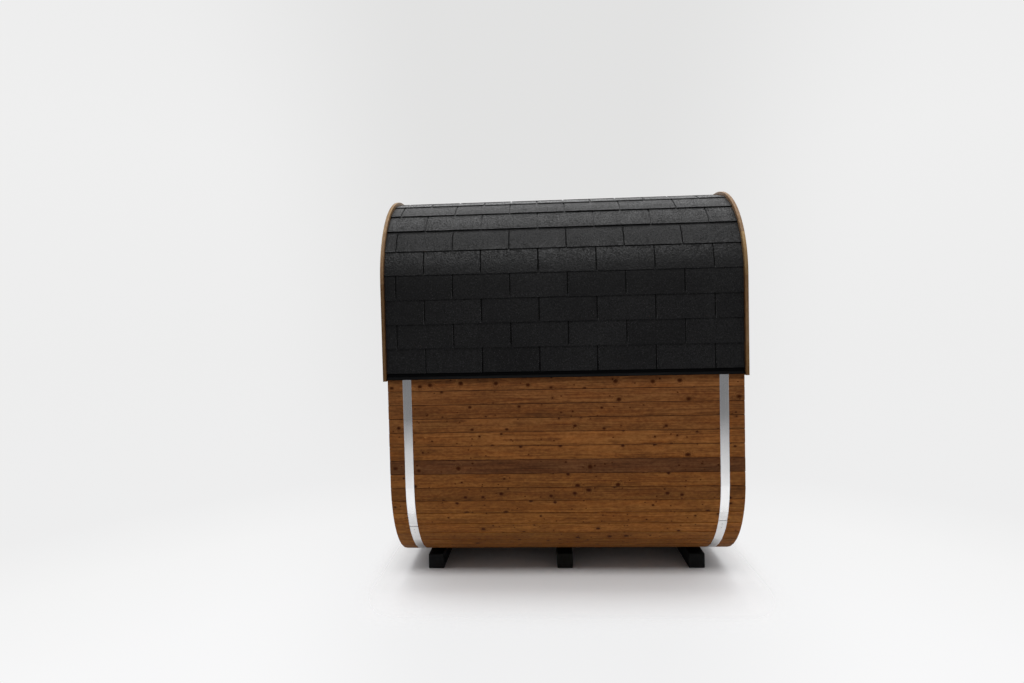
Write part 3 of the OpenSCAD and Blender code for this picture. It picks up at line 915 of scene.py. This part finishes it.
def build_end_walls():
    """Upright boards across each end. The closed end runs right across, and the door end leaves the
    doorway free, with short boards over it and one board on edge under it."""
    rng = np.random.default_rng(88)
    reach = ROOM_HALF - 0.0008
    play = 0.0004
    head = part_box("door_head")[1]
    board_wall("closed_end_wall", "boards_closed_end", -reach, reach, 24, 1, None, rng)
    for node, start, end, foot in (
            ("door_wall_front_panel", -reach, -head.y - play, None),
            ("door_wall_back_panel", head.y + play, reach, None),
            ("door_wall_header", -head.y, head.y, head.z + play)):
        board_wall(node, "boards_" + node, start, end, 8, -1, foot, rng)
    one_bar("board_door_wall_sill", "end_walls", end_wood, "door_wall_sill", 1, 0.0025, rng,
            ((0, play, 0.0005), (0, play, play)))


# ---- door
def build_door():
    """The frame and leaf of the door at the right-hand end: four frame timbers, stiles and rails,
    glazing beads on both faces, upright boards under the middle rail, and screws in the hinges."""
    rng = np.random.default_rng(6)
    for node, along in (("door_jamb_hinge_side", 2), ("door_jamb_latch_side", 2),
                        ("door_head", 1), ("door_threshold", 1)):
        one_bar("timber_" + node, "door_wood", door_wood, node, along, 0.0025, rng)

    (back, hinge_edge, foot), (face, latch_edge, top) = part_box("door_leaf")
    (pane_back, pane_left, pane_foot), (pane_face, pane_right, pane_top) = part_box("door_glass")
    stile = pane_left - hinge_edge
    left, right = hinge_edge + stile, latch_edge - stile
    mid_rail, foot_rail = pane_foot - 0.11, foot + 0.13
    leaf = Piece("door_leaf_timber", "door_wood", door_wood, ("door_leaf",))
    for y0, z0, y1, z1, along in (
            (hinge_edge, foot, left, top, 2), (right, foot, latch_edge, top, 2),
            (left, pane_top, right, top, 1), (left, mid_rail, right, pane_foot, 1),
            (left, foot, right, foot_rail, 1)):
        add_bar(leaf, (back, y0, z0), (face, y1, z1), along, 0.0018, rng, 0.45, 0.2)
    inset = 0.006
    edges = np.linspace(left, right, 6)
    for y0, y1 in zip(edges, edges[1:]):
        add_bar(leaf, (back + inset, y0, foot_rail), (face - inset, y1, mid_rail), 2, 0.0025, rng)
    leaf.make()

    beads = Piece("door_glazing_beads", "door_wood", door_wood)
    wide, play = 0.014, 0.003
    inner_left, inner_right = pane_left + wide, pane_right - wide
    for x0, x1 in ((pane_face, face - play), (back + play, pane_back)):
        for y0, z0, y1, z1, along in (
                (pane_left, pane_foot, inner_left, pane_top, 2),
                (inner_right, pane_foot, pane_right, pane_top, 2),
                (inner_left, pane_foot, inner_right, pane_foot + wide, 1),
                (inner_left, pane_top - wide, inner_right, pane_top, 1)):
            add_bar(beads, (x0, y0, z0), (x1, y1, z1), along, 0.003, rng, 0.6)
    beads.make()

    screws = Piece("door_hinge_screws", "fittings", fitting_steel)
    for node in ("door_hinge_upper", "door_hinge_lower"):
        low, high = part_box(node)
        for y in (low.y + 0.010, high.y - 0.010):
            for share in (0.14, 0.5, 0.86):
                z = low.z + (high.z - low.z) * share
                screws.add(screw_head(face + 0.0028, y, z, 1, 0.0036, 0.0011))
    screws.make()

    for node in ("door_hinge_upper", "door_hinge_lower", "door_handle", "door_glass"):
        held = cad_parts[node].data.materials
        held.clear()
        held.append(glass if node == "door_glass" else fitting_steel)


# ---- foot beams
def build_beams():
    """Three squared beams with planed edges, stained black."""
    rng = np.random.default_rng(12)
    for node in ("foot_beam_left", "foot_beam_middle", "foot_beam_right"):
        one_bar("timber_" + node, "foot_beams", beam_wood, node, 1, 0.004, rng)


# ---- stage
def stage_sheet(name, rings, material, dome=False):
    """A sheet through rings of points, seen from the side that they run round. Its first ring is
    closed; a dome's last ring is closed too, and it is smooth."""
    quads, ends = ring_faces(*rings.shape[:2])
    faces = np.roll(quads[:, ::-1], 1, axis=1).tolist()
    faces += [end[::-1].tolist() for end in (ends if dome else ends[:1])]
    mesh = bpy.data.meshes.new(name)
    mesh.from_pydata(rings.reshape(-1, 3).tolist(), [], faces)
    if dome:
        all_smooth(mesh)
    made = placed(name, mesh, material)
    return made


def disc(name, radius, height, material):
    """A flat round sheet: rings of points at even steps of radius."""
    profile = [(step, height) for step in np.linspace(0.02, radius, 12)]
    return stage_sheet(name, turned(profile, 96), material)


def near_floor():
    """Pale floor that thins out to nothing round the footprint: the distance from a rectangle is
    the length of what the place's absolute values are over its half sides."""
    f = Finish("pale_floor")
    f.put("Base Color", grey(0.78, 0.005))
    f.put("Roughness", 0.9)
    f.put("Specular IOR Level", 0.1)
    size = f.vector("ABSOLUTE", f.stretched(f.place(), 1, 1, 0))[0]
    past = f.vector("MAXIMUM", f.vector("ADD", size, (-0.95, -1.05, 0))[0])[0]
    far = f.vector("LENGTH", f.stretched(past, 1.7, 1, 0))["Value"]
    f.put("Alpha", f.eased(far, 0.0, 0.6, 1, 0))
    return f.material


def wide_floor():
    """The wider floor, which grows darker away from the middle."""
    f = Finish("plain_floor")
    far = f.vector("LENGTH", f.place())["Value"]
    f.put("Base Color", f.ramp(f.times(far, 0.1), [(at, grey(level, 0.005)) for at, level in (
        (0.18, 0.82), (0.3, 0.68), (0.45, 0.53), (0.65, 0.42))]))
    f.put("Roughness", 0.9)
    return f.material


def backdrop_finish():
    """Glowing backdrop: a level that falls with the height, and rises again to both sides."""
    f = Finish("backdrop")
    f.tree.nodes.remove(f.surface)
    place = f.parts(f.place())
    rise = f.span(place[2], -12.0, 12.0)
    middle, side = (f.ramp(rise, [(at, grey(level, blue)) for at, level, blue in stops]) for stops in (
        ((0.16, 0.875, 0.005), (0.24, 0.86, 0.005), (0.33, 0.86, 0.005), (0.4, 0.815, 0.002),
         (0.48, 0.78, 0.0), (0.64, 0.763, -0.003), (0.9, 0.76, -0.003)),
        ((0.16, 0.95, 0.005), (0.26, 0.935, 0.005), (0.33, 0.905, 0.0), (0.38, 0.855, 0.002),
         (0.54, 0.85, 0.0), (0.75, 0.862, 0.0), (0.9, 0.845, 0.0))))
    away = f.eased(f.math("ABSOLUTE", place[0]), 2.5, 8.5, 0, 1)
    glow = f.node("Emission", {0: f.mix(away, middle, side)})
    f.give(f.output.inputs["Surface"], glow.outputs[0])
    return f.material


def build_surround():
    """The light from all round: dim on the side of the camera, pale to the sides and behind. The
    level grows with the direction's way back plus part of its way to either side."""
    world = bpy.data.worlds.new("surround")
    world.use_nodes = True
    scene.world = world
    f = Nodes(world.node_tree)
    way = f.parts(f.place("Generated"))
    share = f.times(f.math("ABSOLUTE", way[0]), 0.55, way[1])
    levels = [(0.0, grey(0.2, 0.005)), (0.5, grey(0.5, 0.005)), (1.0, grey(1.4, 0.01))]
    f.give(f.tree.nodes["Background"].inputs[0], f.ramp(f.span(share, -0.55, 0.75), levels))


def lamp(name, place, aim, size, power):
    """A large soft rectangle of light at place, turned towards aim."""
    light = bpy.data.lights.new(name, "AREA")
    light.shape = "RECTANGLE"
    light.size, light.size_y = size
    light.energy = power
    holder = placed(name, light)
    holder.location = place
    holder.rotation_euler = (Vector(aim) - Vector(place)).to_track_quat("-Z", "Y").to_euler()
    holder.visible_camera = False


def build_stage():
    """A pale floor that fades into a plain backdrop, a wider floor that only the light meets, one
    large soft lamp high in front and one overhead."""
    disc("floor", 2.6, 0.0, near_floor())
    disc("floor_around", 6.6, -0.002, wide_floor()).visible_camera = False

    rise = np.linspace(-math.pi / 2 + 0.02, math.pi / 2 - 0.02, 33)
    sphere = turned(14 * np.stack([np.cos(rise), np.sin(rise)], -1), 64)
    dome = stage_sheet("backdrop", sphere, backdrop_finish(), dome=True)
    for kind in ("diffuse", "glossy", "shadow", "volume_scatter"):
        setattr(dome, "visible_" + kind, False)

    lamp("high_front", (0.0, -4.65, 6.5), (0.0, -0.6, 0.9), (6.0, 2.1), 300)
    lamp("overhead", (0.0, -0.4, 6.5), (0.0, -0.4, 0.0), (6.0, 2.0), 150)
    build_surround()


CAMERA_PLACE = (-0.11467, -4.53341, 1.58153)
CAMERA_PAN, CAMERA_DOWN, CAMERA_ROLL = 0.05215, 0.03072, -0.02313


def build_camera():
    """A level-headed camera just left of the middle, a step in front and at eye height."""
    data = bpy.data.cameras.new("camera")
    data.lens = 20.6
    data.sensor_width = 36.0
    camera = placed("camera", data)
    turn = (Matrix.Rotation(CAMERA_PAN, 4, "Z")
            @ Matrix.Rotation(math.radians(90) - CAMERA_DOWN, 4, "X")
            @ Matrix.Rotation(CAMERA_ROLL, 4, "Z"))
    camera.matrix_world = Matrix.Translation(CAMERA_PLACE) @ turn
    scene.camera = camera


build_shell()
build_roof()
build_drip_edges()
build_edge_boards()
build_bands()
build_end_walls()
build_door()
build_beams()
build_stage()
build_camera()
scene.view_settings.view_transform = "Standard"
